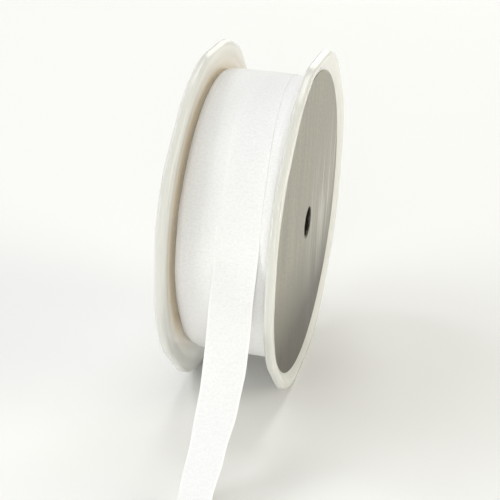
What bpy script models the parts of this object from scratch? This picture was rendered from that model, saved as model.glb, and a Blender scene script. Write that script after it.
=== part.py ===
"""A roll of narrow silky ribbon wound on a plastic spool that stands on its flats, with a loose tail in front.

X runs along the spool's axis, the table is at Z = 0 and the tail comes forward along -Y.
"""
import math

import bmesh
import bpy
from mathutils import Matrix, Vector

# Spool: two equal mouldings with eight flats each, which keep it from rolling away
FLANGE_RADIUS = 0.0500
FLAT_COUNT = 8
FLAT_INRADIUS = 0.0489
SPOOL_WIDTH = 0.0326
RIM_THICKNESS = 0.0026
RIM_ROUNDING = 0.0009
RING_INNER_RADIUS = 0.0478
RING_EDGE_DROP = 0.0003
RECESS_RADIUS = 0.0455
RECESS_CORNER = 0.0003
PLATE_THICKNESS = 0.0008
BORE_RADIUS = 0.00475

# Label in the near flange's recess
LABEL_RADIUS = 0.0448
LABEL_HOLE_RADIUS = 0.0046
LABEL_THICKNESS = 0.0003

# Tube under the ribbon
HUB_RADIUS = 0.0200
HUB_WALL = 0.0020

# Space between pieces that touch on the real spool
GAP = 0.0003

# Wound ribbon
ROLL_RADIUS = 0.0414
ROLL_WIDTH = 0.0256
ROLL_SHOULDER = 0.0008
ROLL_SIDE_SWELL = 0.0003
TURN_RISE = 0.0004
TURN_STEP_WIDTH = 0.0004
TURN_PITCH = 0.0102
TURN_FADE = 0.10
TURN_START_X = 0.0040

# Loose tail
RIBBON_WIDTH = 0.0120
TAIL_THICKNESS = 0.0010
TAIL_LAP_START = 146.0
TAIL_LEAVES_AT = 169.6
TAIL_LAP_STEPS = 6
ROWS_PER_SECTION = 3
TAIL_COLUMNS = 4

# The tail's middle line and how its right edge stands to it, in millimetres: how far in front of the
# spool's axis, how high over the table, how far to the right, and how far the right edge leads and rises.
TAIL_SECTIONS = (
    # forward, height, side, lead, rise
    (43.0, 51.4, 4.0, 0.4, 1.0),
    (45.4, 44.1, 4.1, 0.2, 0.9),
    (49.1, 37.2, 4.6, 0.1, 0.9),
    (53.4, 30.7, 5.3, 0.6, 1.3),
    (58.4, 24.6, 5.7, 1.4, 1.9),
    (64.0, 18.9, 5.9, 2.3, 2.8),
    (69.9, 13.6, 5.8, 3.2, 3.7),
    (76.0, 8.4, 5.7, 3.8, 4.4),
    (82.0, 3.9, 5.6, 4.0, 4.6),
    (88.0, 2.1, 5.5, 3.0, 2.6),
    (94.0, 1.15, 5.3, 1.6, 1.0),
    (100.0, 0.6, 5.0, 0.6, 0.1),
    (107.0, 0.5, 4.6, 0.0, 0.0),
    (115.0, 0.5, 4.2, 0.0, 0.0),
)

# Steps round the turned and lofted pieces
TURNED_STEPS = 72
ROLL_STEPS = 72
ARC_STEPS = 4

# Worked out from the sizes above
MM = 0.001
HALF_WIDTH = SPOOL_WIDTH / 2
INNER_FACE = HALF_WIDTH - RIM_THICKNESS
TAIL_REACH = TAIL_SECTIONS[-1][0] * MM
AXIS_Y = (TAIL_REACH - FLAT_INRADIUS) / 2
AXIS_Z = FLAT_INRADIUS

COLOURS = {
    "flange": ((0.86, 0.85, 0.79, 1.0), 0.35),
    "label": ((0.33, 0.32, 0.29, 1.0), 0.45),
    "hub": ((0.80, 0.79, 0.74, 1.0), 0.50),
    "ribbon": ((0.93, 0.93, 0.92, 1.0), 0.55),
}


def clear_scene():
    for item in list(bpy.data.objects):
        bpy.data.objects.remove(item, do_unlink=True)


def collection(name):
    group = bpy.data.collections.new(name)
    bpy.context.scene.collection.children.link(group)
    return group


def material(name):
    colour, roughness = COLOURS[name]
    finish = bpy.data.materials.new(name)
    finish.use_nodes = True
    shader = finish.node_tree.nodes["Principled BSDF"]
    shader.inputs["Base Color"].default_value = colour
    shader.inputs["Roughness"].default_value = roughness
    shader.inputs["Metallic"].default_value = 0.0
    finish.diffuse_color = colour
    return finish


def add_object(name, mesh, group, finish):
    item = bpy.data.objects.new(name, mesh)
    group.objects.link(item)
    mesh.materials.append(finish)
    return item


def turned(name, profile, group, finish):
    """A closed profile of (radius, height) points, running down its outer side, turned about local Z."""
    mesh = bpy.data.meshes.new(name)
    count = len(profile)
    points = [(radius, 0.0, height) for radius, height in profile]
    mesh.from_pydata(points, [(i, (i + 1) % count) for i in range(count)], [])
    item = add_object(name, mesh, group, finish)
    screw = item.modifiers.new("turn", "SCREW")
    screw.axis = "Z"
    screw.steps = TURNED_STEPS
    screw.render_steps = TURNED_STEPS
    screw.use_smooth_shade = True
    screw.merge_threshold = 0.00001
    return item


def on_axis(item, start_x, outward):
    """Lays a piece's local Z along the spool's axis, starting at start_x and pointing outward (1 or -1)."""
    turn = Matrix.Rotation(outward * math.pi / 2, 4, "Y")
    item.matrix_world = Matrix.Translation((start_x, AXIS_Y, AXIS_Z)) @ turn


def flange_outline():
    """Points of a circle with flats: straight across each flat, an arc between one flat and the next."""
    half_flat = math.acos(FLAT_INRADIUS / FLANGE_RADIUS)
    sector = 2 * math.pi / FLAT_COUNT
    points = []
    for flat in range(FLAT_COUNT):
        start = flat * sector + half_flat
        sweep = sector - 2 * half_flat
        for step in range(ARC_STEPS + 1):
            angle = start + sweep * step / ARC_STEPS
            points.append((FLANGE_RADIUS * math.cos(angle), FLANGE_RADIUS * math.sin(angle)))
    return points


def rounded_plate(name, group, finish):
    """The flange's outline as a plate of the rim's thickness with rounded edges, its inner face at Z = 0."""
    curve = bpy.data.curves.new(name, "CURVE")
    curve.dimensions = "2D"
    curve.fill_mode = "BOTH"
    curve.extrude = RIM_THICKNESS / 2 - RIM_ROUNDING
    curve.bevel_depth = RIM_ROUNDING
    curve.bevel_resolution = 2
    curve.offset = -RIM_ROUNDING
    outline = flange_outline()
    spline = curve.splines.new("POLY")
    spline.points.add(len(outline) - 1)
    for point, (x, y) in zip(spline.points, outline):
        point.co = (x, y, 0.0, 1.0)
    spline.use_cyclic_u = True
    drawn = bpy.data.objects.new(name + "_curve", curve)
    group.objects.link(drawn)
    drawn.location.z = RIM_THICKNESS / 2
    bpy.context.view_layer.update()
    graph = bpy.context.evaluated_depsgraph_get()
    mesh = bpy.data.meshes.new_from_object(drawn.evaluated_get(graph))
    mesh.transform(drawn.matrix_world)
    bpy.data.objects.remove(drawn, do_unlink=True)
    form = bmesh.new()
    form.from_mesh(mesh)
    bmesh.ops.remove_doubles(form, verts=form.verts, dist=0.00001)
    bmesh.ops.recalc_face_normals(form, faces=form.faces)
    form.to_mesh(mesh)
    form.free()
    mesh.materials.clear()
    return add_object(name, mesh, group, finish)


def make_flange(name, outward, group, cutters, finish):
    """Dished blank, trimmed to the rounded outline with its flats."""
    spare = 0.001
    floor = PLATE_THICKNESS
    top = RIM_THICKNESS + spare
    blank = [
        (BORE_RADIUS, floor),
        (RECESS_RADIUS, floor),
        (RECESS_RADIUS + RECESS_CORNER, floor + RECESS_CORNER),
        (RING_INNER_RADIUS, RIM_THICKNESS - RING_EDGE_DROP),
        (RING_INNER_RADIUS + RING_EDGE_DROP + spare, top),
        (FLANGE_RADIUS + spare, top),
        (FLANGE_RADIUS + spare, -spare),
        (BORE_RADIUS, -spare),
    ]
    flange = turned(name, blank, group, finish)
    outline = rounded_plate(name + "_outline", cutters, finish)
    for item in (flange, outline):
        on_axis(item, outward * INNER_FACE, outward)
    outline.hide_render = True
    outline.display_type = "WIRE"
    trim = flange.modifiers.new("outline", "BOOLEAN")
    trim.operation = "INTERSECT"
    trim.solver = "EXACT"
    trim.object = outline
    return flange


def make_label(group, finish):
    profile = [
        (LABEL_HOLE_RADIUS, LABEL_THICKNESS),
        (LABEL_RADIUS, LABEL_THICKNESS),
        (LABEL_RADIUS, 0.0),
        (LABEL_HOLE_RADIUS, 0.0),
    ]
    label = turned("label_disc", profile, group, finish)
    on_axis(label, INNER_FACE + PLATE_THICKNESS + GAP, 1)
    return label


def make_hub(group, finish):
    length = 2 * (INNER_FACE - GAP)
    profile = [
        (HUB_RADIUS - HUB_WALL, length),
        (HUB_RADIUS, length),
        (HUB_RADIUS, 0.0),
        (HUB_RADIUS - HUB_WALL, 0.0),
    ]
    hub = turned("spool_hub", profile, group, finish)
    on_axis(hub, -length / 2, 1)
    return hub


def turn_position(angle):
    """Middle and rise of the last turn at an angle round the axis: it starts under the tail and runs back."""
    back = ((math.radians(TAIL_LEAVES_AT) - angle) / (2 * math.pi)) % 1.0
    middle = TURN_START_X - TURN_PITCH * back
    fade = min(1.0, (1.0 - back) / TURN_FADE)
    return middle, TURN_RISE * fade


def roll_section(angle):
    """The wound ribbon's section at one angle, as (x, radius) points round its closed outline."""
    half = ROLL_WIDTH / 2
    middle, rise = turn_position(angle)
    left = max(middle - RIBBON_WIDTH / 2, -half + ROLL_SHOULDER + 2 * TURN_STEP_WIDTH)
    right = min(middle + RIBBON_WIDTH / 2, half - ROLL_SHOULDER - 2 * TURN_STEP_WIDTH)
    low, high = ROLL_RADIUS, ROLL_RADIUS + rise
    mid_radius = (HUB_RADIUS + ROLL_RADIUS) / 2
    inner = HUB_RADIUS + GAP
    return [
        (-half, inner),
        (-half - ROLL_SIDE_SWELL, mid_radius),
        (-half, low - ROLL_SHOULDER),
        (-half + ROLL_SHOULDER, low),
        (left - TURN_STEP_WIDTH, low),
        (left, high),
        ((left + right) / 2, high),
        (right, high),
        (right + TURN_STEP_WIDTH, low),
        (half - ROLL_SHOULDER, low),
        (half, low - ROLL_SHOULDER),
        (half + ROLL_SIDE_SWELL, mid_radius),
        (half, inner),
    ]


def make_roll(group, finish):
    """Loft of the section round the axis, because the last turn's edges wander from side to side."""
    form = bmesh.new()
    rings = []
    for step in range(ROLL_STEPS):
        angle = math.radians(TAIL_LEAVES_AT) + 2 * math.pi * step / ROLL_STEPS
        ring = []
        for x, radius in roll_section(angle):
            place = (x, AXIS_Y + radius * math.cos(angle), AXIS_Z + radius * math.sin(angle))
            ring.append(form.verts.new(place))
        rings.append(ring)
    count = len(rings[0])
    for step in range(ROLL_STEPS):
        here, there = rings[step], rings[(step + 1) % ROLL_STEPS]
        for i in range(count):
            j = (i + 1) % count
            form.faces.new((here[i], here[j], there[j], there[i]))
    bmesh.ops.recalc_face_normals(form, faces=form.faces)
    mesh = bpy.data.meshes.new("ribbon_roll")
    form.to_mesh(mesh)
    form.free()
    roll = add_object("ribbon_roll", mesh, group, finish)
    mesh.shade_smooth()
    mesh.set_sharp_from_angle(angle=math.radians(35))
    return roll


def smooth_rows(rows, steps):
    """Catmull-Rom curve through rows of numbers, with a number of steps from each row to the next."""
    out = []
    for i in range(len(rows) - 1):
        before = rows[max(i - 1, 0)]
        after = rows[min(i + 2, len(rows) - 1)]
        for step in range(steps):
            t = step / steps
            row = []
            for a, b, c, d in zip(before, rows[i], rows[i + 1], after):
                row.append(0.5 * (2 * b + (c - a) * t + (2 * a - 5 * b + 4 * c - d) * t * t
                                  + (3 * b - a - 3 * c + d) * t * t * t))
            out.append(row)
    out.append(list(rows[-1]))
    return out


def lap_rows():
    """The stretch of tail that still lies on the last turn, as rows like those of the table."""
    radius = ROLL_RADIUS + TURN_RISE + GAP + TAIL_THICKNESS / 2
    rows = []
    for step in range(TAIL_LAP_STEPS):
        degrees = TAIL_LAP_START + (TAIL_LEAVES_AT - TAIL_LAP_START) * step / TAIL_LAP_STEPS
        angle = math.radians(degrees)
        forward = -radius * math.cos(angle) / MM
        height = (AXIS_Z + radius * math.sin(angle)) / MM
        rows.append((forward, height, turn_position(angle)[0] / MM, 0.0, 0.5))
    return rows


def make_tail(group, finish):
    """Sheet through the tail's sections: each row runs across the ribbon from its left edge to its right."""
    rows = lap_rows() + smooth_rows(TAIL_SECTIONS, ROWS_PER_SECTION)
    form = bmesh.new()
    grid = []
    for forward, height, side, lead, rise in rows:
        resting = max(height * MM, TAIL_THICKNESS / 2)
        middle = Vector((side * MM, AXIS_Y - forward * MM, resting))
        across = RIBBON_WIDTH ** 2 - (lead * MM) ** 2 - (rise * MM) ** 2
        span = Vector((math.sqrt(across), -lead * MM, rise * MM))
        line = []
        for column in range(TAIL_COLUMNS + 1):
            line.append(form.verts.new(middle + span * (column / TAIL_COLUMNS - 0.5)))
        grid.append(line)
    for here, there in zip(grid, grid[1:]):
        for column in range(TAIL_COLUMNS):
            form.faces.new((here[column], there[column], there[column + 1], here[column + 1]))
    mesh = bpy.data.meshes.new("ribbon_tail")
    form.to_mesh(mesh)
    form.free()
    tail = add_object("ribbon_tail", mesh, group, finish)
    mesh.shade_smooth()
    thick = tail.modifiers.new("thickness", "SOLIDIFY")
    thick.thickness = TAIL_THICKNESS
    thick.offset = 0.0
    thick.use_even_offset = True
    return tail


def main():
    clear_scene()
    group = collection("ribbon_roll_on_spool")
    cutters = collection("cutters")
    finishes = {name: material(name) for name in COLOURS}
    make_flange("flange_near", 1, group, cutters, finishes["flange"])
    make_flange("flange_far", -1, group, cutters, finishes["flange"].copy())
    make_label(group, finishes["label"])
    make_hub(group, finishes["hub"])
    make_roll(group, finishes["ribbon"])
    make_tail(group, finishes["ribbon"].copy())


main()
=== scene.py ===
"""Looks of a roll of faux silk ribbon on its milky plastic spool, which stands on its flats.

Sizes are in metres. X runs along the spool's axis, the tail comes forward along -Y, the table is at Z = 0.
"""
import math

import bmesh
import bpy
import numpy as np
from bpy.props import FloatProperty, FloatVectorProperty, IntProperty, PointerProperty
from bpy.types import Operator, Panel, PropertyGroup
from mathutils import Matrix, Vector


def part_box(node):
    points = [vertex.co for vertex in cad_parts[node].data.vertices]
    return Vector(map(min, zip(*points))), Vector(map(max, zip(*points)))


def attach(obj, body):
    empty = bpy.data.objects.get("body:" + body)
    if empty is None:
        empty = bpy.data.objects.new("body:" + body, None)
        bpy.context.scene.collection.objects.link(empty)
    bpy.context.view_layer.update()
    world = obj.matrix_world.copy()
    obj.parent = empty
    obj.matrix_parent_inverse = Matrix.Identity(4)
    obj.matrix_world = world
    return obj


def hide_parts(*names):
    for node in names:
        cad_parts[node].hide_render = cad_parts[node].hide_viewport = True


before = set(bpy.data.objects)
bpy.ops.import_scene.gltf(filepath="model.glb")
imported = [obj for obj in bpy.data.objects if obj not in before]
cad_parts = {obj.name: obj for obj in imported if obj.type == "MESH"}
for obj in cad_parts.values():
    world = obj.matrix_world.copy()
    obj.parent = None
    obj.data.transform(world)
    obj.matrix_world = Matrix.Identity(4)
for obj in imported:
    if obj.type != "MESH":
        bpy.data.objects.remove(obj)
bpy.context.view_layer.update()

bl_info = {
    "name": "Ribbon Roll on a Spool",
    "version": (1, 0, 0),
    "blender": (4, 5, 0),
    "location": "3D View > Sidebar > Ribbon Roll",
    "description": "Dresses a roll of faux silk ribbon: flanges, label, wound turns, loose tail and stage",
    "category": "Add Mesh",
}

# Places read from the frame
NEAR_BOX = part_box("flange_near")
LABEL_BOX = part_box("label_disc")
HUB_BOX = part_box("spool_hub")
INNER_FACE = NEAR_BOX[0].x
OUTER_FACE = NEAR_BOX[1].x
AXIS_Y = (NEAR_BOX[0].y + NEAR_BOX[1].y) / 2
AXIS_Z = (NEAR_BOX[0].z + NEAR_BOX[1].z) / 2
MM = 0.001

# The loose tail's middle line and how its right edge stands to it, in millimetres
TAIL_SECTIONS = (
    # forward, height, side, lead, rise
    (41.85, 51.4, 4.0, 0.4, 1.0),
    (44.9, 44.1, 4.1, 0.2, 0.9),
    (48.9, 37.2, 4.6, 0.1, 0.9),
    (53.4, 30.7, 5.3, 0.6, 1.3),
    (58.4, 24.6, 5.7, 1.4, 1.9),
    (64.0, 18.9, 5.9, 2.3, 2.8),
    (69.9, 13.6, 5.8, 3.2, 3.7),
    (76.0, 8.4, 5.7, 3.8, 4.4),
    (82.0, 3.9, 5.6, 4.0, 4.6),
    (88.0, 2.1, 5.5, 3.0, 2.6),
    (94.0, 1.15, 5.3, 1.6, 1.0),
    (100.0, 0.6, 5.0, 0.6, 0.1),
    (107.0, 0.5, 4.6, 0.0, 0.0),
    (115.0, 0.5, 4.2, 0.0, 0.0),
)


class RibbonRollSpoolSettings(PropertyGroup):
    """Sizes and finish of the two flanges and the tube between them"""
    flange_radius: FloatProperty(name="Flange radius", description="Over the arcs between the flats",
                                 default=0.0500, unit="LENGTH")
    flat_inradius: FloatProperty(name="Flat distance", description="From the axis to each flat",
                                 default=0.0489, unit="LENGTH")
    flat_count: IntProperty(name="Flats", description="Flats round each flange", default=8, min=3)
    bore_radius: FloatProperty(name="Spindle hole radius", description="Radius of the hole for a rod",
                               default=0.00475, unit="LENGTH")
    recess_depth: FloatProperty(name="Recess depth", description="Depth of the label's recess",
                                default=0.00145, unit="LENGTH")
    recess_radius: FloatProperty(name="Recess radius", description="Radius of the recess's flat floor",
                                 default=0.0447, unit="LENGTH")
    dish_depth: FloatProperty(name="Inner dish depth", description="Depth of the dish on the inner side",
                              default=0.00015, unit="LENGTH")
    dish_radius: FloatProperty(name="Inner dish radius", description="Outer edge of the dish's slope",
                               default=0.0468, unit="LENGTH")
    ring_radius: FloatProperty(name="Ring inner radius", description="Inner edge of the raised ring",
                               default=0.0478, unit="LENGTH")
    rim_rounding: FloatProperty(name="Rim rounding", description="Radius of the rim's rounded edges",
                                default=0.0009, unit="LENGTH")
    colour: FloatVectorProperty(name="Plastic colour", description="Colour of the milky plastic",
                                default=(0.618, 0.617, 0.577), size=3, subtype="COLOR")
    # Brown painted shade for the far flange's inner face beside the ribbon
    gap_shade_colour: FloatVectorProperty(name="Deep colour", description="Plastic beside the ribbon",
                                     default=(0.40, 0.31, 0.185), size=3, subtype="COLOR")
    roughness: FloatProperty(name="Plastic roughness", description="How matt the plastic is",
                             default=0.22, min=0.0, max=1.0)
    # Near black painted shade for the tube and round the spindle hole
    tube_shade_colour: FloatVectorProperty(name="Core colour", description="Core seen through the hole",
                                     default=(0.050, 0.041, 0.030), size=3, subtype="COLOR")
    scatter: FloatProperty(name="Scatter depth", description="How far light spreads inside the plastic",
                           default=0.0095, unit="LENGTH")


class RibbonRollLabelSettings(PropertyGroup):
    """Sizes and finish of the round card label"""
    radius: FloatProperty(name="Label radius", description="Outer radius of the label",
                          default=0.0448, unit="LENGTH")
    off_centre: FloatVectorProperty(name="Off centre", description="How far it was stuck off the axis",
                                    default=(-0.0004, -0.0004), size=2, subtype="XYZ")
    hole_radius: FloatProperty(name="Label hole radius", description="Radius of the hole at its middle",
                               default=0.0048, unit="LENGTH")
    wave: FloatProperty(name="Label wave", description="How far the card lifts and dips",
                        default=0.00002, unit="LENGTH")
    colour: FloatVectorProperty(name="Label colour", description="Colour of the coated card",
                                default=(0.254, 0.242, 0.188), size=3, subtype="COLOR")
    roughness: FloatProperty(name="Label roughness", description="How matt the card's coating is",
                             default=0.31, min=0.0, max=1.0)


class RibbonRollWindingSettings(PropertyGroup):
    """Sizes and finish of the wound ribbon"""
    ribbon_width: FloatProperty(name="Ribbon width", description="Width of the ribbon",
                                default=0.0120, unit="LENGTH")
    ribbon_thickness: FloatProperty(name="Ribbon thickness", description="Thickness of the ribbon",
                                    default=0.00012, unit="LENGTH")
    roll_width: FloatProperty(name="Roll width", description="Width of the wound roll",
                              default=0.0260, unit="LENGTH")
    roll_radius: FloatProperty(name="Roll radius", description="Radius under the last turn",
                               default=0.0416, unit="LENGTH")
    turn_pitch: FloatProperty(name="Turn pitch", description="How far each turn moves sideways",
                              default=0.0102, unit="LENGTH")
    turn_step: FloatProperty(name="Turn step", description="How far a turn's edge stands up, pressed down",
                             default=0.00005, unit="LENGTH", precision=6)
    top_turns: IntProperty(name="Top turns", description="Turns whose edges show in the surface",
                           default=12, min=1)
    colour: FloatVectorProperty(name="Ribbon colour", description="Colour of the silky ribbon",
                                default=(0.912, 0.912, 0.909), size=3, subtype="COLOR")
    roughness: FloatProperty(name="Ribbon roughness", description="How matt the cloth is",
                             default=0.62, min=0.0, max=1.0)
    sheen: FloatProperty(name="Ribbon sheen", description="Soft sheen of the fibres",
                         default=0.12, min=0.0, max=1.0)
    thread_pitch: FloatProperty(name="Thread pitch", description="Distance between threads of the weave",
                                default=0.00024, unit="LENGTH", precision=6)


class RibbonRollTailSettings(PropertyGroup):
    """Where the last turn starts and leaves the roll, and the ripple of the loose tail"""
    turn_start: FloatProperty(name="Turn start", description="Angle where the modelled last turn starts",
                              default=math.radians(-60.0), subtype="ANGLE")
    leaves_at: FloatProperty(name="Leaves at", description="Angle where the tail leaves the roll",
                             default=math.radians(169.6), subtype="ANGLE")
    leaves_side: FloatProperty(name="Leaves at side", description="Middle of the ribbon where it leaves",
                               default=0.0040, unit="LENGTH")
    ripple: FloatProperty(name="Edge ripple", description="Height of the ripple along the edges",
                          default=0.00018, unit="LENGTH", precision=6)
    cupping: FloatProperty(name="Cupping", description="How far the middle bows out between the edges",
                           default=0.00025, unit="LENGTH", precision=6)


class RibbonRollStageSettings(PropertyGroup):
    """Table, lights and camera"""
    table_size: FloatProperty(name="Table size", description="Side of the pale table", default=8.0,
                              unit="LENGTH")
    table_colour: FloatVectorProperty(name="Table colour", description="Colour of the table",
                                      default=(0.900, 0.900, 0.892), size=3, subtype="COLOR")
    sky_strength: FloatProperty(name="Surround", description="Strength of the even white surround",
                                default=0.275, min=0.0)
    camera_place: FloatVectorProperty(name="Camera place", description="Where the camera stands",
                                      default=(0.06916, -0.26947, 0.17791), size=3, subtype="XYZ")
    camera_turn: FloatProperty(name="Camera turn", description="Turn to the left of straight ahead",
                               default=math.radians(13.258), subtype="ANGLE")
    camera_down: FloatProperty(name="Camera down", description="Tilt below level",
                               default=math.radians(24.424), subtype="ANGLE")
    camera_roll: FloatProperty(name="Camera roll", description="Roll about the view line",
                               default=math.radians(2.612), subtype="ANGLE")
    lens: FloatProperty(name="Lens", description="Focal length in millimetres", default=81.1)


# Meshes

def add_piece(name, mesh, finish):
    piece = bpy.data.objects.new(name, mesh)
    bpy.context.scene.collection.objects.link(piece)
    mesh.materials.append(finish)
    mesh.shade_smooth()
    return piece


def grid_mesh(name, points, close_rows, close_columns, weave=None, selvage_and_highlight=None):
    """Mesh of quads through rows of points, with the weave's two lengths as UVs and an amount of edge
    relief and painted highlight.
    """
    rows, columns = points.shape[:2]
    index = np.arange(rows * columns).reshape(rows, columns)
    if close_rows:
        index = np.vstack([index, index[:1]])
    if close_columns:
        index = np.hstack([index, index[:, :1]])
    quads = np.stack([index[:-1, :-1], index[1:, :-1], index[1:, 1:], index[:-1, 1:]], axis=-1)
    mesh = bpy.data.meshes.new(name)
    mesh.from_pydata(points.reshape(-1, 3).tolist(), [], quads.reshape(-1, 4).tolist())
    if weave is not None:
        loops = np.empty(len(mesh.loops), dtype=np.int32)
        mesh.loops.foreach_get("vertex_index", loops)
        layer = mesh.uv_layers.new(name="weave")
        layer.data.foreach_set("uv", weave.reshape(-1, 2)[loops].astype(np.float32).ravel())
    if selvage_and_highlight is not None:
        amount = mesh.attributes.new("selvage_and_highlight", "FLOAT", "POINT")
        amount.data.foreach_set("value", selvage_and_highlight.astype(np.float32).ravel())
    form = bmesh.new()
    form.from_mesh(mesh)
    bmesh.ops.recalc_face_normals(form, faces=form.faces)
    form.to_mesh(mesh)
    form.free()
    return mesh


def round_the_axis(x, radius, angle):
    """Points at a radius and an angle round the spool's axis, measured from the back over the top."""
    return np.stack(np.broadcast_arrays(
        x, AXIS_Y + radius * np.cos(angle), AXIS_Z + radius * np.sin(angle)), axis=-1)


def corner(middle_radius, middle_height, rounding, start, end, steps):
    """Points of a rounded corner in a profile, from one direction to another, in degrees."""
    points = []
    for step in range(steps + 1):
        angle = math.radians(start + (end - start) * step / steps)
        points.append((middle_radius + rounding * math.cos(angle),
                       middle_height + rounding * math.sin(angle)))
    return points


# Flanges

FLANGE_STEPS = 360
BORE_CHAMFER = 0.00015
PLATE_RINGS = (0.4, 0.7)
RECESS_FILLET = 0.0005
FILLET_STEPS = 4
RING_ROUNDING = 0.00040
RING_STEPS = 5
RIM_STEPS = 8
DISH_SLOPE_WIDTH = 0.0024
DISH_SLOPE_STEPS = 6
OUTLINE_SOFTNESS = 0.00022


def flange_profile(spool):
    """(radius, height) round the section, from the inner ring up: bore, recess, ring, rim, inner dish."""
    thickness = OUTER_FACE - INNER_FACE
    plate = thickness - spool.recess_depth
    rounding = spool.rim_rounding
    slope = math.degrees(math.atan2(spool.recess_depth, spool.ring_radius - spool.recess_radius))
    rings = [spool.bore_radius + BORE_CHAMFER, spool.bore_radius * 2]
    rings += [spool.recess_radius * share for share in PLATE_RINGS]
    points = [(spool.bore_radius, spool.dish_depth + BORE_CHAMFER),
              (spool.bore_radius, plate - BORE_CHAMFER)]
    points += [(ring, plate) for ring in rings]
    points += corner(spool.recess_radius, plate + RECESS_FILLET, RECESS_FILLET,
                     -90.0, -90.0 + slope, FILLET_STEPS)
    points += corner(spool.ring_radius + RING_ROUNDING, thickness - RING_ROUNDING, RING_ROUNDING,
                     90.0 + slope, 90.0, RING_STEPS)
    points += corner(spool.flange_radius - rounding, thickness - rounding, rounding, 90.0, 0.0, RIM_STEPS)
    points += corner(spool.flange_radius - rounding, rounding, rounding, 0.0, -90.0, RIM_STEPS)
    for step in range(DISH_SLOPE_STEPS + 1):
        turn = math.pi * step / DISH_SLOPE_STEPS
        points.append((spool.dish_radius - DISH_SLOPE_WIDTH * step / DISH_SLOPE_STEPS,
                       spool.dish_depth * (1 - math.cos(turn)) / 2))
    points += [(ring, spool.dish_depth) for ring in reversed(rings)]
    return points


def flange_outline(spool, angle):
    """Distance from the axis to the flange's outline: an arc, cut off at each flat."""
    sector = 2 * math.pi / spool.flat_count
    from_flat = (angle + sector / 2) % sector - sector / 2
    flat = spool.flat_inradius / np.cos(from_flat)
    past = (spool.flange_radius - flat) / OUTLINE_SOFTNESS
    return flat - OUTLINE_SOFTNESS * np.logaddexp(0.0, -past)


def build_flange(name, outward, spool, finish):
    profile = np.array(flange_profile(spool))
    angle = np.linspace(0.0, 2 * math.pi, FLANGE_STEPS, endpoint=False)[:, None]
    start = spool.recess_radius
    squeeze = (flange_outline(spool, angle) - start) / (spool.flange_radius - start)
    radius = profile[None, :, 0]
    radius = np.where(radius > start, start + (radius - start) * squeeze, radius)
    x = outward * (INNER_FACE + np.broadcast_to(profile[None, :, 1], radius.shape))
    points = round_the_axis(x, radius, angle)
    mesh = grid_mesh(name, points, True, True)
    return add_piece(name, mesh, finish)


# Label

LABEL_STEPS = 360
LABEL_EDGE = 0.00006
LABEL_RINGS = 14
WAVE_SHIFTS = (0.7, 2.1)
WAVE_SPIRAL = 2.5


def build_label(label, finish):
    """Disc with a hole, its face very slightly wavy as stuck card is."""
    back, face = LABEL_BOX[0].x, LABEL_BOX[1].x
    inner, outer = label.hole_radius, label.radius
    face_radii = np.linspace(inner + 2 * LABEL_EDGE, outer - 2 * LABEL_EDGE, LABEL_RINGS - 2)
    face_radii = np.concatenate([[inner + LABEL_EDGE], face_radii, [outer - LABEL_EDGE]])
    radii = np.concatenate([[inner], face_radii, [outer, outer, inner]])
    below = face - LABEL_EDGE
    heights = np.concatenate([[below], np.full(LABEL_RINGS, face), [below, back, back]])
    waving = np.concatenate([[0.0], np.full(LABEL_RINGS, 1.0), [0.0, 0.0, 0.0]])
    angle = np.linspace(0.0, 2 * math.pi, LABEL_STEPS, endpoint=False)[:, None]
    reach = radii[None, :] / outer
    broad = np.sin(2 * angle + WAVE_SHIFTS[0]) * reach ** 2
    small = 0.5 * np.sin(3 * angle + WAVE_SHIFTS[1] + WAVE_SPIRAL * reach) * reach
    wave = broad + small
    x = heights[None, :] + label.wave * waving[None, :] * wave
    points = round_the_axis(x, radii[None, :], angle)
    points[..., 1:] += np.array(label.off_centre)
    mesh = grid_mesh("label_card", points, True, True)
    return add_piece("label_card", mesh, finish)


# Wound ribbon

WINDING_STEPS = 400
SURFACE_COLUMNS = 129
SIDE_ROWS = 14
SEED = 7

# Lumps of the hand-wound roll: height, and their spread in steps round the roll and columns across it
LUMP_HEIGHT = 0.00006
LUMP_SPREAD = (14.0, 10.0)

# Rounded edges of the roll, and the spread in degrees of the unevenness given below
SHOULDER_DROP = 0.0005
SHOULDER_POWER = 14
ROUND_SPREAD = 9.0
DROP_SPREAD = 6.0

# One turn: room left beside it, soft edge, edge marked with relief and painted highlight, wander from its
# path, and what it bridges
SIDE_ROOM = 0.0003
TURN_EDGE_SOFTNESS = 0.00020
TURN_EDGE_WIDTH = 0.00035
TURN_SELVAGE_AND_HIGHLIGHT = 0.35
TURN_WANDER = 0.00025
TURN_WAVE = 0.0002
TURN_SHIFTS = (2.3, 1.7)
BRIDGED_WIDTH = 0.0011

# Broad swell of the turns that is taken out again: steps round the roll, and width across it
SWELL_STEPS = 30.0
SWELL_WIDTH = 0.003

# Sides of stacked ribbon edges and the bore on the tube
BORE_ROOM = 0.0003
SIDE_INSET = 0.0012
SIDE_UNEVENNESS = 0.00009
SIDE_SPREAD = 5.0

# How the hand-wound roll departs from round: angle round the axis in degrees, and millimetres
ROLL_UNEVENNESS = (
    # angle, out of round, left edge's further drop
    (-180.0, -0.10, 0.0),
    (-135.0, -0.20, 0.5),
    (-90.0, 0.20, 0.1),
    (0.0, 0.00, 0.0),
    (60.0, 0.40, 0.0),
    (90.0, 0.65, -0.2),
    (112.0, 0.20, 0.0),
    (135.0, -0.20, 0.6),
    (155.0, -0.20, 0.4),
    (180.0, -0.10, 0.0),
)


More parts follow.
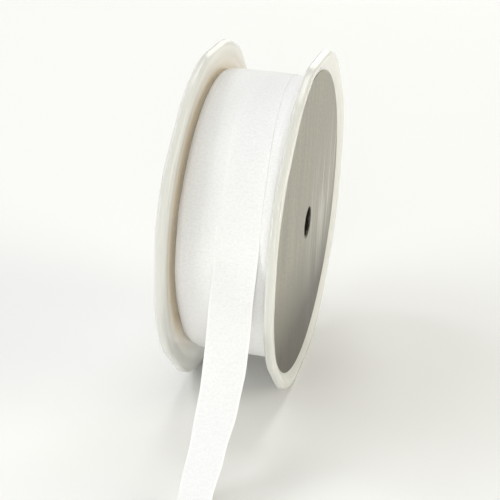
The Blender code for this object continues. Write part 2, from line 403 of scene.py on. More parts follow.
def roll_form(winding, angle, x):
    """Radius of the roll before its turns: a little out of round, with its two edges rounded off."""
    angles, out_of_round, left_drop = np.array(ROLL_UNEVENNESS).T
    degrees = (np.degrees(angle) + 180.0) % 360.0 - 180.0
    row_degrees = 360.0 / len(angle)
    out_of_round = np.interp(degrees, angles, out_of_round) * MM
    out_of_round = smooth_along(out_of_round, ROUND_SPREAD / row_degrees, 0, True)
    left_drop = np.interp(degrees, angles, left_drop) * MM
    left_drop = smooth_along(left_drop, DROP_SPREAD / row_degrees, 0, True)
    reach = np.abs(x[None, :]) / (winding.roll_width / 2)
    drop = np.where(x[None, :] < 0, SHOULDER_DROP + left_drop[:, None], SHOULDER_DROP)
    return winding.roll_radius + out_of_round[:, None] - drop * reach ** SHOULDER_POWER


def smooth_along(values, width, axis, closed):
    """Gaussian blur of a grid along one axis, wrapping round where it is closed."""
    reach = max(1, int(round(3 * width)))
    offsets = np.arange(-reach, reach + 1)
    weights = np.exp(-0.5 * (offsets / max(width, 1e-6)) ** 2)
    weights /= weights.sum()
    out = np.zeros_like(values)
    size = values.shape[axis]
    for offset, weight in zip(offsets, weights):
        source = np.arange(size) + offset
        source = source % size if closed else np.clip(source, 0, size - 1)
        out += weight * np.take(values, source, axis=axis)
    return out


def traverse(turns_back, winding, tail):
    """Sideways place of the ribbon's middle some turns before it leaves: to and fro between the flanges."""
    limit = (winding.roll_width - winding.ribbon_width) / 2 - SIDE_ROOM
    path = tail.leaves_side - winding.turn_pitch * turns_back
    span = 4 * limit
    phase = (path + limit) % span
    return np.where(phase < 2 * limit, phase - limit, 3 * limit - phase)


def wind_surface(winding, tail):
    """Radius of the surface on a grid of angle and x, laid turn by turn, and how near a turn's edge is."""
    rng = np.random.default_rng(SEED)
    start = tail.turn_start
    angle = start + np.linspace(0.0, 2 * math.pi, WINDING_STEPS, endpoint=False)
    half = winding.roll_width / 2
    x = np.linspace(-half, half, SURFACE_COLUMNS)
    lumps = rng.normal(size=(WINDING_STEPS, SURFACE_COLUMNS))
    lumps = smooth_along(smooth_along(lumps, LUMP_SPREAD[0], 0, True), LUMP_SPREAD[1], 1, False)
    lumps *= LUMP_HEIGHT / lumps.std()
    height = lumps.copy()
    edge = np.zeros_like(height)
    column = x[1] - x[0]
    last = (tail.leaves_at - start) / (2 * math.pi)
    for turn in range(winding.top_turns, 0, -1):
        back = last + turn - (angle - start) / (2 * math.pi)
        wander = TURN_WANDER * math.sin(TURN_SHIFTS[0] * turn)
        wander = wander + TURN_WAVE * np.sin(angle * 2 + turn * TURN_SHIFTS[1])
        middle = traverse(back, winding, tail) + wander
        from_edge = winding.ribbon_width / 2 - np.abs(x[None, :] - middle[:, None])
        cover = np.clip(from_edge / TURN_EDGE_SOFTNESS + 0.5, 0.0, 1.0)
        bridged = smooth_along(height, BRIDGED_WIDTH / column, 1, False)
        laid = np.maximum(bridged, height) + winding.turn_step
        height = height + cover * (laid - height)
        near = np.exp(-(from_edge / TURN_EDGE_WIDTH) ** 2) * (from_edge > -TURN_EDGE_SOFTNESS)
        edge = np.where(cover > 0.5, near, edge)
    swell = smooth_along(smooth_along(height, SWELL_STEPS, 0, True), SWELL_WIDTH / column, 1, False)
    return angle, x, roll_form(winding, angle, x) + height - swell, edge


def build_winding(winding, tail, finish):
    """Closed ring: the wound surface, two sides of stacked ribbon edges, and the bore on the tube."""
    rng = np.random.default_rng(SEED + 1)
    angle, x, height, edge = wind_surface(winding, tail)
    half = winding.roll_width / 2
    bore = (HUB_BOX[1].z - HUB_BOX[0].z) / 2 + BORE_ROOM
    side_radii = np.linspace(bore, winding.roll_radius - SIDE_INSET, SIDE_ROWS)
    steps = np.broadcast_to(angle[:, None], (len(angle), SIDE_ROWS))
    sides = []
    for sign in (-1, 1):
        rough = rng.normal(size=(len(angle), SIDE_ROWS))
        rough = smooth_along(rough, SIDE_SPREAD, 0, True)
        rough *= SIDE_UNEVENNESS / rough.std()
        sides.append(sign * half + rough)
    left = round_the_axis(sides[0], side_radii[None, :], steps)
    surface = round_the_axis(np.broadcast_to(x[None, :], height.shape), height, angle[:, None])
    right = round_the_axis(sides[1][:, ::-1], side_radii[None, ::-1], steps)
    points = np.concatenate([left, surface, right], axis=1)
    along = (angle - angle[0]) * winding.roll_radius
    across = np.concatenate([np.full(SIDE_ROWS, x[0]), x, np.full(SIDE_ROWS, x[-1])])
    weave = np.stack(np.broadcast_arrays(across[None, :], along[:, None]), axis=-1)
    plain = np.zeros((len(angle), SIDE_ROWS))
    selvage_and_highlight = np.concatenate([plain, TURN_SELVAGE_AND_HIGHLIGHT * edge, plain], axis=1)
    mesh = grid_mesh("ribbon_winding", points, True, True, weave, selvage_and_highlight)
    return add_piece("ribbon_winding", mesh, finish)


# Last turn and loose tail

TAIL_COLUMNS = 17
EDGE_COLUMN = 0.00004
WRAP_ROWS = 150
TAIL_STEPS_PER_SECTION = 9
SOFTENINGS = 2

# Last turn: how softly it follows the turns below and its path, how its start is tucked under, and its lift
FOLLOW_WIDTH = 0.0014
FOLLOW_STEPS = 4.0
PATH_SPREAD = 5.0
TUCK_ROWS = 8.0
TUCK_DEPTH = 3
LYING_LIFT = 0.15

# Last turn's edges: pressed thin, curled up or sunk on the roll, and free over an angle before it leaves
EDGE_PRESS_WIDTH = 0.0022
LEFT_EDGE_PRESS = 0.96
RIGHT_EDGE_PRESS = 0.40
RIGHT_EDGE_CURL = 0.00005
LEFT_EDGE_SINK = 0.00016
CURL_WIDTH = 0.0014
EDGE_FREE_ANGLE = math.radians(14.0)

# Selvage relief and painted highlight: how much shows on the roll, rows over which it grows, and its width
WRAP_SELVAGE_AND_HIGHLIGHT = 0.1
SELVAGE_ROWS = 12
SELVAGE_WIDTH = 0.0004

# Loose tail: rise of its right edge in millimetres where it leaves, height at rest, and where ripples grow
LEAVE_RISE = 0.6
REST_HEIGHT = 0.0003
FREE_LENGTH = 0.02
SETTLE_HEIGHT = 0.004
OUTWARD = (0.0, -1.0, 0.3)

# Ripple of each edge: length of one wave and where it starts
RIGHT_RIPPLE = (0.0125, 0.4)
LEFT_RIPPLE = (0.0158, 2.2)

# Where the middle of the last turn lies: angle round the axis in degrees, and millimetres along X
LAST_TURN_PATH = (
    # angle, side
    (-60.0, -2.7),
    (0.0, -1.1),
    (60.0, 0.4),
    (97.0, 1.5),
    (118.0, 2.2),
    (136.0, 3.2),
    (154.0, 3.75),
    (169.6, 3.8),
)


def smooth_rows(rows, steps):
    """Catmull-Rom curve through rows of numbers, with a number of steps from each row to the next."""
    rows = np.asarray(rows, dtype=float)
    out = []
    for i in range(len(rows) - 1):
        before, here = rows[max(i - 1, 0)], rows[i]
        there, after = rows[i + 1], rows[min(i + 2, len(rows) - 1)]
        for step in range(steps):
            t = step / steps
            out.append(0.5 * (2 * here + (there - before) * t
                              + (2 * before - 5 * here + 4 * there - after) * t ** 2
                              + (3 * here - before - 3 * there + after) * t ** 3))
    out.append(rows[-1])
    return np.array(out)


def look_up(grid, rows, columns):
    """Values of a grid between its points, with rows wrapping round."""
    r0, c0 = np.floor(rows).astype(int), np.clip(np.floor(columns).astype(int), 0, grid.shape[1] - 2)
    fr, fc = rows - r0, columns - c0
    r1 = (r0 + 1) % grid.shape[0]
    r0 = r0 % grid.shape[0]
    low = grid[r0, c0] * (1 - fc) + grid[r0, c0 + 1] * fc
    high = grid[r1, c0] * (1 - fc) + grid[r1, c0 + 1] * fc
    return low * (1 - fr) + high * fr


def edge_freedom(turn):
    """How free the edges of the last turn are: none on the roll, growing to all where it leaves."""
    return np.clip((turn - turn[-1]) / EDGE_FREE_ANGLE + 1, 0.0, 1.0)


def wrap_points(winding, tail, across):
    """The last turn's rows on the wound surface, which it follows softly; its start tucks under."""
    angle, x, height, _ = wind_surface(winding, tail)
    column = x[1] - x[0]
    soft = smooth_along(smooth_along(height, FOLLOW_WIDTH / column, 1, False), FOLLOW_STEPS, 0, False)
    surface = np.maximum(soft, height)
    turn = np.linspace(tail.turn_start, tail.leaves_at, WRAP_ROWS, endpoint=False)
    angles, sides = np.array(LAST_TURN_PATH).T
    middle = np.interp(np.degrees(turn), angles, sides) * MM
    middle = smooth_along(middle, PATH_SPREAD, 0, False)
    side = middle[:, None] + across[None, :]
    rows = np.broadcast_to(((turn - angle[0]) / (angle[1] - angle[0]))[:, None], side.shape)
    radius = look_up(surface, rows, (side - x[0]) / column)
    tuck = np.clip(1 - np.arange(WRAP_ROWS) / TUCK_ROWS, 0.0, 1.0) ** 2
    lift = LYING_LIFT - TUCK_DEPTH * tuck[:, None]
    held = 1 - edge_freedom(turn)
    curl = RIGHT_EDGE_CURL * np.clip(1 - (across[-1] - across) / CURL_WIDTH, 0.0, 1.0) ** 2
    sink = LEFT_EDGE_SINK * np.clip(1 - (across - across[0]) / CURL_WIDTH, 0.0, 1.0) ** 2
    radius = radius + lift * winding.ribbon_thickness + (curl - sink)[None, :] * held[:, None]
    return round_the_axis(side, radius, turn[:, None])


def edge_thickness(winding, tail, across, row_count):
    """Share of the full thickness at each point: edges pressed on the roll thin out, free ones don't."""
    turn = np.linspace(tail.turn_start, tail.leaves_at, WRAP_ROWS, endpoint=False)
    free = np.ones(row_count)
    free[:WRAP_ROWS] = edge_freedom(turn)
    near_edge = np.clip(1 - (winding.ribbon_width / 2 - np.abs(across)) / EDGE_PRESS_WIDTH, 0.0, 1.0) ** 2
    pressed = np.where(across < 0, LEFT_EDGE_PRESS, RIGHT_EDGE_PRESS) * near_edge
    return 1 - pressed[None, :] * (1 - free[:, None])


def tail_points(winding, tail, across, leave):
    """The free part's rows, from the table of sections, starting where the last turn leaves the roll."""
    first = np.array([(AXIS_Y - leave[1]) / MM, leave[2] / MM, leave[0] / MM, 0.0, LEAVE_RISE])
    rows = smooth_rows(np.vstack([first, TAIL_SECTIONS]), TAIL_STEPS_PER_SECTION)
    forward, rising, sideways, lead, rise = rows.T * MM
    rising = np.maximum(rising, REST_HEIGHT)
    middle = np.stack([sideways, AXIS_Y - forward, rising], axis=-1)
    span = np.stack([np.sqrt(winding.ribbon_width ** 2 - lead ** 2 - rise ** 2), -lead, rise], axis=-1)
    span /= winding.ribbon_width
    points = middle[:, None, :] + span[:, None, :] * across[None, :, None]
    run = np.gradient(middle, axis=0)
    run /= np.linalg.norm(run, axis=1)[:, None]
    out = np.cross(run, span)
    out /= np.linalg.norm(out, axis=1)[:, None]
    out *= np.sign((out * np.array(OUTWARD)).sum(axis=1))[:, None]
    length = np.concatenate([[0.0], np.cumsum(np.linalg.norm(np.diff(middle, axis=0), axis=1))])
    place = across / (winding.ribbon_width / 2)
    hanging = np.clip((rising - REST_HEIGHT) / SETTLE_HEIGHT, 0.0, 1.0)
    free = np.clip(length / FREE_LENGTH, 0.0, 1.0) * hanging
    ripple = 0.0
    for side, (wave, shift) in ((place, RIGHT_RIPPLE), (-place, LEFT_RIPPLE)):
        ripple = ripple + np.sin(length * 2 * math.pi / wave + shift)[:, None] * np.clip(side, 0, 1) ** 3
    bow = tail.cupping * (1 - place ** 2)[None, :] + tail.ripple * ripple
    return points + out[:, None, :] * (bow * free[:, None])[..., None]


def build_tail(winding, tail, finish):
    half = winding.ribbon_width / 2
    across = np.linspace(EDGE_COLUMN - half, half - EDGE_COLUMN, TAIL_COLUMNS)
    across = np.concatenate([[-half], across, [half]])
    wrap = wrap_points(winding, tail, across)
    leave_radius = np.hypot(wrap[-1, :, 1] - AXIS_Y, wrap[-1, :, 2] - AXIS_Z).mean()
    leave = round_the_axis(tail.leaves_side, leave_radius, tail.leaves_at)
    loose = tail_points(winding, tail, across, leave)
    points = np.concatenate([wrap, loose], axis=0)
    for _ in range(SOFTENINGS):
        points[1:-1] = (points[:-2] + 2 * points[1:-1] + points[2:]) / 4
    middle = points.mean(axis=1)
    along = np.concatenate([[0.0], np.cumsum(np.linalg.norm(np.diff(middle, axis=0), axis=1))])
    weave = np.stack(np.broadcast_arrays(across[None, :], along[:, None]), axis=-1)
    from_edge = half - np.abs(across)
    shown = np.clip((np.arange(len(points)) - WRAP_ROWS + SELVAGE_ROWS) / SELVAGE_ROWS, WRAP_SELVAGE_AND_HIGHLIGHT, 1.0)
    selvage_and_highlight = shown[:, None] * np.exp(-(from_edge / SELVAGE_WIDTH) ** 2)[None, :]
    mesh = grid_mesh("ribbon_tail_cloth", points, False, False, weave, selvage_and_highlight)
    piece = add_piece("ribbon_tail_cloth", mesh, finish)
    share = edge_thickness(winding, tail, across, len(points)).ravel()
    group = piece.vertex_groups.new(name="thickness")
    for level in np.unique(share):
        group.add(np.flatnonzero(share == level).tolist(), float(level), "REPLACE")
    thick = piece.modifiers.new("thickness", "SOLIDIFY")
    thick.thickness = winding.ribbon_thickness
    thick.offset = 0.0
    thick.vertex_group = group.name
    return piece, float(along[-1])


# Finishes

# Painted shade on the milky plastic beside the ribbon: radii and heights of its brown painted shade, its
# share at the foot, and its depth
GAP_SHADE_FROM = 0.0482
GAP_SHADE_TO = 0.0424
GAP_SHADE_CURVE = 1.2
GAP_SHADE_FADED = -0.042
GAP_SHADE_FULL = -0.020
GAP_SHADE_AT_FOOT = 0.15
GAP_SHADE_SKIN = (0.0008, 0.0004)

# The rim's outer edge, painted darker as shade, and the spindle hole's near black painted shade in shares
# of its radius
RIM_SHADE_FROM = 0.0481
RIM_SHADE_TO = 0.0487
RIM_SHADE = 0.90
HOLE_SHADE_SHARES = (1.40, 1.30)

# Label: where painted shade darkens it towards its foot, and the paler patch
FOOT_SHADE_START = 0.004
FOOT_SHADE_FULL = 0.031
FOOT_SHADE_COLOUR = (0.052, 0.042, 0.027)
PALE_PATCH_FROM = -0.004
PALE_PATCH_TO = 0.018
PALE_PATCH_TOP = 0.026
PALE_PATCH_LOW = -0.005
PALE_PATCH_FOOT = -0.030
PALE_PATCH_COLOUR = (0.460, 0.440, 0.410)

# Grain of label and ribbon: its repeats to the metre in each direction, and the share of the streaks
LABEL_STREAKS = (1.0, 330.0, 26.0)
LABEL_MOTTLE = (1.0, 450.0, 1300.0)
LABEL_WISPS = (1.0, 300.0, 20.0)
RIBBON_SLUBS = (260.0, 2400.0, 1.0)
RIBBON_MOTTLE = (1300.0, 1500.0, 1.0)
STREAK_SHARE = 0.45

# Darkest and palest shade of each finish, as shares of its colour
PLASTIC_SHADES = (0.985, 1.01)
CORE_SHADES = (0.85, 1.15)
LABEL_SHADES = (0.70, 1.27)
CLOTH_SHADES = (0.90, 1.02)
# Painted highlight: the woven edges are made paler than the cloth
SELVAGE_HIGHLIGHT = 1.05
TABLE_SHADES = (0.998, 1.002)

# Ribbon: closeness of the weft, and what each part adds to the relief
WEFT_SHARE = 0.85
THREAD_RELIEF = 0.35
SLUB_RELIEF = 0.35
MOTTLE_RELIEF = 1.25
SELVAGE_RELIEF = 0.5


class Finish:
    """A new material and short ways to add and join its nodes."""

    def __init__(self, name):
        self.material = bpy.data.materials.new(name)
        self.material.use_nodes = True
        self.tree = self.material.node_tree
        self.shader = self.tree.nodes["Principled BSDF"]

    def add(self, kind, inputs=(), **settings):
        node = self.tree.nodes.new(kind)
        for key, value in settings.items():
            setattr(node, key, value)
        for socket, value in dict(inputs).items():
            if isinstance(value, bpy.types.NodeSocket):
                self.tree.links.new(value, node.inputs[socket])
            else:
                node.inputs[socket].default_value = value
        return node

    def maths(self, operation, first, second=0.0, third=0.0):
        node = self.add("ShaderNodeMath", {0: first, 1: second, 2: third}, operation=operation)
        return node.outputs[0]

    def noise(self, vector, scale, detail=2.0, roughness=0.5):
        node = self.add("ShaderNodeTexNoise", {"Vector": vector, "Scale": scale, "Detail": detail,
                                               "Roughness": roughness})
        return node.outputs["Fac"]

    def stretch(self, vector, scale):
        node = self.add("ShaderNodeMapping", {"Vector": vector, "Scale": scale})
        return node.outputs["Vector"]

    def blend(self, amount, first, second):
        node = self.add("ShaderNodeMix", {"Factor": amount}, data_type="RGBA")
        for socket, value in ((node.inputs[6], first), (node.inputs[7], second)):
            if isinstance(value, bpy.types.NodeSocket):
                self.tree.links.new(value, socket)
            else:
                socket.default_value = value
        return node.outputs[2]

    def shades(self, amount, colour, darkest_palest):
        darkest, palest = darkest_palest
        return self.blend(amount, shade(colour, darkest), shade(colour, palest))

    def span(self, value, low, high, to_low=0.0, to_high=1.0):
        node = self.add("ShaderNodeMapRange", {"Value": value, "From Min": low, "From Max": high,
                                               "To Min": to_low, "To Max": to_high})
        return node.outputs["Result"]

    def bump(self, height, distance, strength=1.0, normal=None):
        inputs = {"Height": height, "Distance": distance, "Strength": strength}
        if normal is not None:
            inputs["Normal"] = normal
        return self.add("ShaderNodeBump", inputs).outputs["Normal"]

    def set(self, **values):
        for key, value in values.items():
            socket = self.shader.inputs[key.replace("_", " ")]
            if isinstance(value, bpy.types.NodeSocket):
                self.tree.links.new(value, socket)
            else:
                socket.default_value = value


def shade(colour, factor):
    return (colour[0] * factor, colour[1] * factor, colour[2] * factor, 1.0)


def plastic_finish(spool):
    """Milky moulded plastic: light spreads inside it; painted shade makes it brown beside the ribbon,
    darker at the rim's edge and near black round the spindle hole; faint flow marks.
    """
    finish = Finish("milky_plastic")
    place = finish.add("ShaderNodeTexCoord").outputs["Object"]
    parts = finish.add("ShaderNodeSeparateXYZ", {"Vector": place})
    forward = finish.maths("SUBTRACT", parts.outputs["Y"], AXIS_Y)
    rising = finish.maths("SUBTRACT", parts.outputs["Z"], AXIS_Z)
    from_axis = finish.maths("SQRT", finish.maths("MULTIPLY_ADD", forward, forward,
                                                  finish.maths("MULTIPLY", rising, rising)))
    cloud = finish.noise(place, scale=45.0, detail=1.0)
    clouded = finish.span(cloud, 0.3, 0.7)
    colour = finish.shades(clouded, spool.colour, PLASTIC_SHADES)
    # Painted shade: the rim's outer edge is made a little darker
    rim = finish.span(from_axis, RIM_SHADE_FROM, RIM_SHADE_TO)
    colour = finish.blend(rim, colour, shade(spool.colour, RIM_SHADE))
    # Painted shade: the far flange's inner face turns brown beside the ribbon, less so towards the foot
    inner = finish.span(parts.outputs["X"], -INNER_FACE - GAP_SHADE_SKIN[0], -INNER_FACE - GAP_SHADE_SKIN[1])
    inner = finish.maths("MULTIPLY", inner, finish.maths("LESS_THAN", parts.outputs["X"], 0.0))
    depth = finish.maths("POWER", finish.span(from_axis, GAP_SHADE_FROM, GAP_SHADE_TO), GAP_SHADE_CURVE)
    depth = finish.maths("MULTIPLY", depth, finish.span(rising, GAP_SHADE_FADED, GAP_SHADE_FULL, GAP_SHADE_AT_FOOT, 1.0))
    beside = finish.maths("MULTIPLY", inner, depth)
    colour = finish.blend(beside, colour, shade(spool.gap_shade_colour, 1.0))
    # Painted shade: the plastic round the spindle hole goes near black
    hole = finish.span(from_axis, spool.bore_radius * HOLE_SHADE_SHARES[0], spool.bore_radius * HOLE_SHADE_SHARES[1])
    colour = finish.blend(hole, colour, shade(spool.tube_shade_colour, 1.0))
    flow = finish.noise(place, scale=260.0, detail=2.0)
    rub = finish.span(flow, 0.3, 0.7, spool.roughness - 0.03, spool.roughness + 0.03)
    normal = finish.bump(cloud, distance=0.0002, strength=0.08)
    finish.set(Base_Color=colour, Roughness=rub, Normal=normal, IOR=1.49)
    finish.set(Subsurface_Weight=0.85, Subsurface_Scale=spool.scatter, Subsurface_Radius=(1.0, 1.0, 1.0))
    finish.set(Coat_Weight=0.12, Coat_Roughness=0.16)
    return finish.material


def tube_shade_finish(spool):
    """Dull, near black tube between the flanges: painted shade, which shows only through the spindle hole.
    """
    finish = Finish("tube_painted_shade")
    place = finish.add("ShaderNodeTexCoord").outputs["Object"]
    fibres = finish.noise(place, scale=700.0, detail=3.0)
    colour = finish.shades(fibres, spool.tube_shade_colour, CORE_SHADES)
    finish.set(Base_Color=colour, Roughness=0.7, Normal=finish.bump(fibres, distance=0.00003, strength=0.5))
    return finish.material


def label_finish(label):
    """Olive grey coated card: uneven streaks, soft mottling, painted shade towards its foot and a paler
    patch behind the hole.
    """
    finish = Finish("label_card")
    place = finish.add("ShaderNodeTexCoord").outputs["Object"]
    upright = finish.stretch(place, LABEL_STREAKS)
    streaks = finish.noise(upright, scale=1.0, detail=4.0, roughness=0.6)
    level = finish.stretch(place, LABEL_MOTTLE)
    mottle = finish.noise(level, scale=1.0, detail=4.0, roughness=0.65)
    mottle_part = finish.maths("MULTIPLY", mottle, 1 - STREAK_SHARE)
    mixed = finish.maths("MULTIPLY_ADD", streaks, STREAK_SHARE, mottle_part)
    mottled = finish.span(mixed, 0.38, 0.62)
    card = finish.shades(mottled, label.colour, LABEL_SHADES)
    parts = finish.add("ShaderNodeSeparateXYZ", {"Vector": place})
    # Painted shade: the card darkens towards its foot, where it reflects the shaded table
    painted_foot_shade = finish.span(parts.outputs["Z"], AXIS_Z - FOOT_SHADE_FULL, AXIS_Z - FOOT_SHADE_START, 1.0, 0.0)
    card = finish.blend(painted_foot_shade, card, shade(FOOT_SHADE_COLOUR, 1.0))
    back = finish.span(parts.outputs["Y"], AXIS_Y + PALE_PATCH_FROM, AXIS_Y + PALE_PATCH_TO)
    top = finish.span(parts.outputs["Z"], AXIS_Z + PALE_PATCH_TOP, AXIS_Z)
    foot = finish.span(parts.outputs["Z"], AXIS_Z + PALE_PATCH_FOOT, AXIS_Z + PALE_PATCH_LOW)
    pale_patch = finish.maths("MULTIPLY", back, finish.maths("MULTIPLY", top, foot))
    wisps = finish.noise(finish.stretch(place, LABEL_WISPS), scale=1.0, detail=3.0, roughness=0.6)
    pale_patch = finish.maths("MULTIPLY", pale_patch, finish.span(wisps, 0.46, 0.60))
    colour = finish.blend(pale_patch, card, shade(PALE_PATCH_COLOUR, 1.0))
    rub = finish.span(mixed, 0.36, 0.64, label.roughness - 0.02, label.roughness + 0.04)
    normal = finish.bump(mottle, distance=0.000016, strength=0.5)
    finish.set(Base_Color=colour, Roughness=rub, Normal=normal, IOR=1.33)
    return finish.material


def ribbon_finish(name, winding):
    """White faux silk: plain weave, slubs across it, soft mottling and denser woven edges in relief with a
    painted highlight.
    """
    finish = Finish(name)
    weave = finish.add("ShaderNodeUVMap", uv_map="weave").outputs["UV"]
    parts = finish.add("ShaderNodeSeparateXYZ", {"Vector": weave})
    turns = 2 * math.pi / winding.thread_pitch
    warp = finish.maths("SINE", finish.maths("MULTIPLY", parts.outputs["X"], turns))
    weft = finish.maths("SINE", finish.maths("MULTIPLY", parts.outputs["Y"], turns * WEFT_SHARE))
    threads = finish.span(finish.maths("MULTIPLY", warp, weft), -1.0, 1.0)
    crossing = finish.stretch(weave, RIBBON_SLUBS)
    slubs = finish.noise(crossing, scale=1.0, detail=3.0, roughness=0.6)
    even = finish.stretch(weave, RIBBON_MOTTLE)
    mottle = finish.noise(even, scale=1.0, detail=3.0, roughness=0.7)
    selvage_and_highlight = finish.add("ShaderNodeAttribute", attribute_name="selvage_and_highlight").outputs["Fac"]
    slubbed = finish.maths("MULTIPLY", slubs, SLUB_RELIEF)
    relief = finish.maths("MULTIPLY_ADD", threads, THREAD_RELIEF, slubbed)
    relief = finish.maths("ADD", relief, finish.maths("MULTIPLY", mottle, MOTTLE_RELIEF))
    raised = finish.span(relief, 0.60, 1.15)
    cloth = finish.shades(raised, winding.colour, CLOTH_SHADES)
    # Painted highlight: the woven edges are paler than the cloth
    colour = finish.blend(selvage_and_highlight, cloth, shade(winding.colour, SELVAGE_HIGHLIGHT))
    height = finish.maths("ADD", relief, finish.maths("MULTIPLY", selvage_and_highlight, SELVAGE_RELIEF))
    normal = finish.bump(height, distance=0.00006, strength=0.75)
    finish.set(Base_Color=colour, Roughness=winding.roughness, Normal=normal, IOR=1.45)
    finish.set(Sheen_Weight=winding.sheen, Sheen_Roughness=0.4)
    return finish.material


def table_finish(stage):
    finish = Finish("pale_table")
    place = finish.add("ShaderNodeTexCoord").outputs["Object"]
    cloud = finish.noise(place, scale=3.0, detail=2.0)
    colour = finish.shades(cloud, stage.table_colour, TABLE_SHADES)
    finish.set(Base_Color=colour, Roughness=0.85)
    return finish.material


# Stage

# Round soft lights: bearings clockwise from behind the spool and heights above level, both in degrees
SOFT_LIGHTS = (
    # name, bearing, height, width, watts, colour
    ("back_high_light", 0.0, 66.0, 0.80, 5.00, (0.965, 0.972, 1.000)),
    ("front_left_light", 240.0, 42.0, 0.80, 3.60, (0.975, 0.993, 1.000)),
    ("right_light", 90.0, 18.0, 0.80, 8.30, (1.000, 0.944, 0.794)),
    ("key_light", 279.0, 54.0, 0.32, 1.90, (0.940, 0.935, 1.000)),
    ("back_low_light", 0.0, 18.0, 0.80, 3.05, (1.000, 0.986, 0.920)),
    ("front_light", 174.0, 30.0, 0.80, 2.20, (1.000, 0.985, 0.970)),
    ("front_low_light", 170.0, 5.0, 0.50, 4.00, (1.000, 0.994, 0.986)),
    ("back_left_low_light", 315.0, 14.0, 0.80, 1.90, (1.000, 0.960, 0.930)),
    ("left_low_light", 226.0, 7.0, 0.50, 3.10, (1.000, 0.995, 0.965)),
)
SURROUND_COLOUR = (0.982, 1.000, 0.932)
LIGHT_DISTANCE = 1.3
LIT_POINT = (0.0, 0.02, 0.035)
SENSOR_WIDTH = 36.0
CLIP_START = 0.01


def add_light(name, bearing, height, width, strength, colour):
    lamp = bpy.data.lights.new(name, "AREA")
    lamp.shape = "DISK"
    lamp.size = width
    lamp.energy = strength
    lamp.color = colour
    light = bpy.data.objects.new(name, lamp)
    bpy.context.scene.collection.objects.link(light)
    bearing, height = math.radians(bearing), math.radians(height)
    level = math.cos(height)
    away = Vector((level * math.sin(bearing), level * math.cos(bearing), math.sin(height)))
    light.location = Vector(LIT_POINT) + LIGHT_DISTANCE * away
    light.rotation_mode = "QUATERNION"
    light.rotation_quaternion = (-away).to_track_quat("-Z", "Y")
    return light


def add_table(stage):
    form = bmesh.new()
    bmesh.ops.create_grid(form, x_segments=4, y_segments=4, size=stage.table_size / 2)
    mesh = bpy.data.meshes.new("table_top")
    form.to_mesh(mesh)
    form.free()
    table = add_piece("table_top", mesh, table_finish(stage))
    return table


def add_camera(stage):
    camera = bpy.data.objects.new("camera", bpy.data.cameras.new("camera"))
    bpy.context.scene.collection.objects.link(camera)
    camera.data.lens = stage.lens
    camera.data.sensor_width = SENSOR_WIDTH
    camera.data.clip_start = CLIP_START
    aim = (Matrix.Rotation(stage.camera_turn, 4, "Z")
           @ Matrix.Rotation(math.pi / 2 - stage.camera_down, 4, "X")
           @ Matrix.Rotation(stage.camera_roll, 4, "Z"))
    camera.matrix_world = Matrix.Translation(stage.camera_place) @ aim
    bpy.context.scene.camera = camera
    return camera


def add_surround(stage):
    world = bpy.data.worlds.new("soft_surround")
    bpy.context.scene.world = world
    world.use_nodes = True
    background = world.node_tree.nodes["Background"]
    background.inputs["Color"].default_value = (*SURROUND_COLOUR, 1.0)
    background.inputs["Strength"].default_value = stage.sky_strength


# Operators

class RIBBONROLL_OT_stage(Operator):
    """Add the pale table, the soft lights, the surround and the camera"""
    bl_idname = "ribbon_roll.stage"
    bl_label = "Stage"

    def execute(self, context):
        stage = context.scene.ribbon_roll_stage
        add_camera(stage)
        add_table(stage)
        add_surround(stage)
        for row in SOFT_LIGHTS:
            add_light(*row)
        context.scene.view_settings.view_transform = "Standard"
        return {"FINISHED"}


class RIBBONROLL_OT_flanges(Operator):
    """Add the two moulded flanges and give the tube between them its dull, near black finish of painted
    shade
    """
    bl_idname = "ribbon_roll.flanges"
    bl_label = "Flanges"

    def execute(self, context):
        spool = context.scene.ribbon_roll_spool
        plastic = plastic_finish(spool)
        for name, node, outward in (("flange_near_moulding", "flange_near", 1),
                                    ("flange_far_moulding", "flange_far", -1)):
            flange = build_flange(name, outward, spool, plastic)
            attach(flange, "root")
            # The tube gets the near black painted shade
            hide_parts(node)
        core = tube_shade_finish(spool)
        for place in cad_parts["spool_hub"].material_slots:
            place.material = core
        return {"FINISHED"}


class RIBBONROLL_OT_label(Operator):
    """Add the round card label in the near flange's recess"""
    bl_idname = "ribbon_roll.label"
    bl_label = "Label"

    def execute(self, context):
        settings = context.scene.ribbon_roll_label
        label = build_label(settings, label_finish(settings))
        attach(label, "root")
        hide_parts("label_disc")
        return {"FINISHED"}


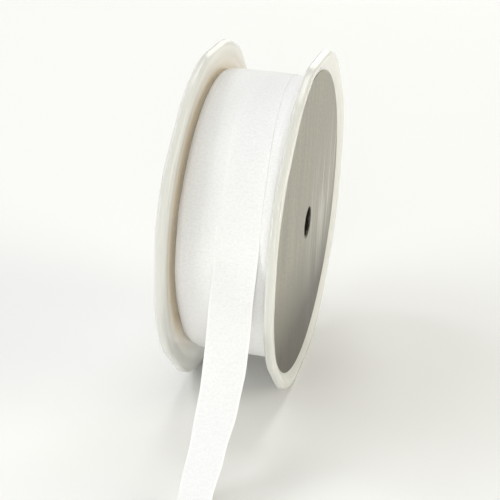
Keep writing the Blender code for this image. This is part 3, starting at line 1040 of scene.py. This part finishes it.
class RIBBONROLL_OT_winding(Operator):
    """Add the wound ribbon with its crossing turns"""
    bl_idname = "ribbon_roll.winding"
    bl_label = "Wound ribbon"

    def execute(self, context):
        scene = context.scene
        cloth = ribbon_finish("wound_faux_silk", scene.ribbon_roll_winding)
        winding = build_winding(scene.ribbon_roll_winding, scene.ribbon_roll_tail, cloth)
        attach(winding, "root")
        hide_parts("ribbon_roll")
        return {"FINISHED"}


class RIBBONROLL_OT_tail(Operator):
    """Add the last turn and the loose tail, one length of ribbon"""
    bl_idname = "ribbon_roll.tail"
    bl_label = "Last turn and tail"

    def execute(self, context):
        scene = context.scene
        cloth = ribbon_finish("loose_faux_silk", scene.ribbon_roll_winding)
        piece, length = build_tail(scene.ribbon_roll_winding, scene.ribbon_roll_tail, cloth)
        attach(piece, "root")
        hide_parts("ribbon_tail")
        return {"FINISHED"}


class RIBBONROLL_PT_panel(Panel):
    """Lists the pieces of the ribbon roll"""
    bl_idname = "RIBBONROLL_PT_panel"
    bl_label = "Ribbon Roll"
    bl_space_type = "VIEW_3D"
    bl_region_type = "UI"
    bl_category = "Ribbon Roll"

    def draw(self, context):
        for operator in STEPS:
            self.layout.operator(operator.bl_idname)


SETTINGS = (
    ("ribbon_roll_stage", RibbonRollStageSettings),
    ("ribbon_roll_spool", RibbonRollSpoolSettings),
    ("ribbon_roll_label", RibbonRollLabelSettings),
    ("ribbon_roll_winding", RibbonRollWindingSettings),
    ("ribbon_roll_tail", RibbonRollTailSettings),
)
STEPS = (RIBBONROLL_OT_stage, RIBBONROLL_OT_flanges, RIBBONROLL_OT_label, RIBBONROLL_OT_winding,
         RIBBONROLL_OT_tail)


def register():
    for name, group in SETTINGS:
        bpy.utils.register_class(group)
        setattr(bpy.types.Scene, name, PointerProperty(type=group))
    for operator in STEPS:
        bpy.utils.register_class(operator)
    bpy.utils.register_class(RIBBONROLL_PT_panel)


def unregister():
    bpy.utils.unregister_class(RIBBONROLL_PT_panel)
    for operator in reversed(STEPS):
        bpy.utils.unregister_class(operator)
    for name, group in reversed(SETTINGS):
        delattr(bpy.types.Scene, name)
        bpy.utils.unregister_class(group)


def main():
    register()
    bpy.ops.ribbon_roll.stage()
    bpy.ops.ribbon_roll.flanges()
    bpy.ops.ribbon_roll.label()
    bpy.ops.ribbon_roll.winding()
    bpy.ops.ribbon_roll.tail()


if __name__ == "__main__":
    main()
